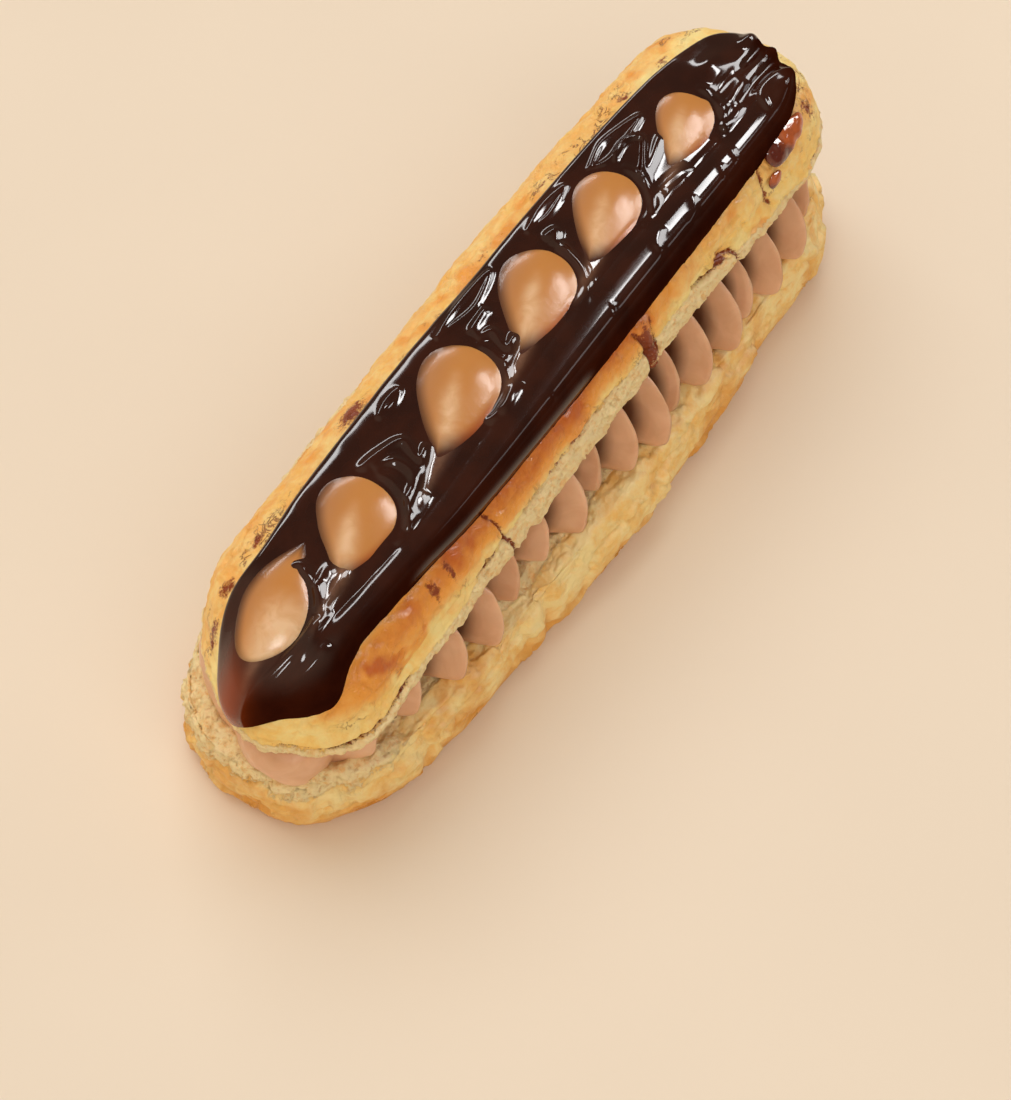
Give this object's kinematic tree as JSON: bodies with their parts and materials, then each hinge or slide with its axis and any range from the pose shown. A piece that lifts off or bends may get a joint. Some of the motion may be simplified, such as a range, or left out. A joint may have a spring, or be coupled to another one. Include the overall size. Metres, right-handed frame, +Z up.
{
  "type": "chocolate eclair",
  "caption": "Split choux bun with piped chocolate cream between base and lid, dark glossy icing on top and caramel drops in a row.",
  "frame": {"origin": "on the table, under the middle of the base's flat foot", "axes": "+X along the eclair, +Z up, -Y towards the side where most of the piped cream shows"},
  "size_m": [0.148, 0.044, 0.0476],
  "materials": {
    "choux_base": "pale golden baked choux, dry and porous",
    "cream": "satin piped chocolate cream",
    "choux_lid": "golden-brown baked crust, egg-washed to a soft shine",
    "icing": "dark glossy chocolate icing",
    "caramel": "glossy milky caramel",
    "caramel_chip": "clear reddish-brown caramel"
  },
  "bodies": {
    "root": {"base": "choux_base", "cream": "cream", "lid": "choux_lid", "icing": "icing", "caramel_drop_1": "caramel", "caramel_drop_2": "caramel", "caramel_drop_3": "caramel", "caramel_drop_4": "caramel", "caramel_drop_5": "caramel", "caramel_drop_6": "caramel", "caramel_chip": "caramel_chip"}
  },
  "joints": []
}
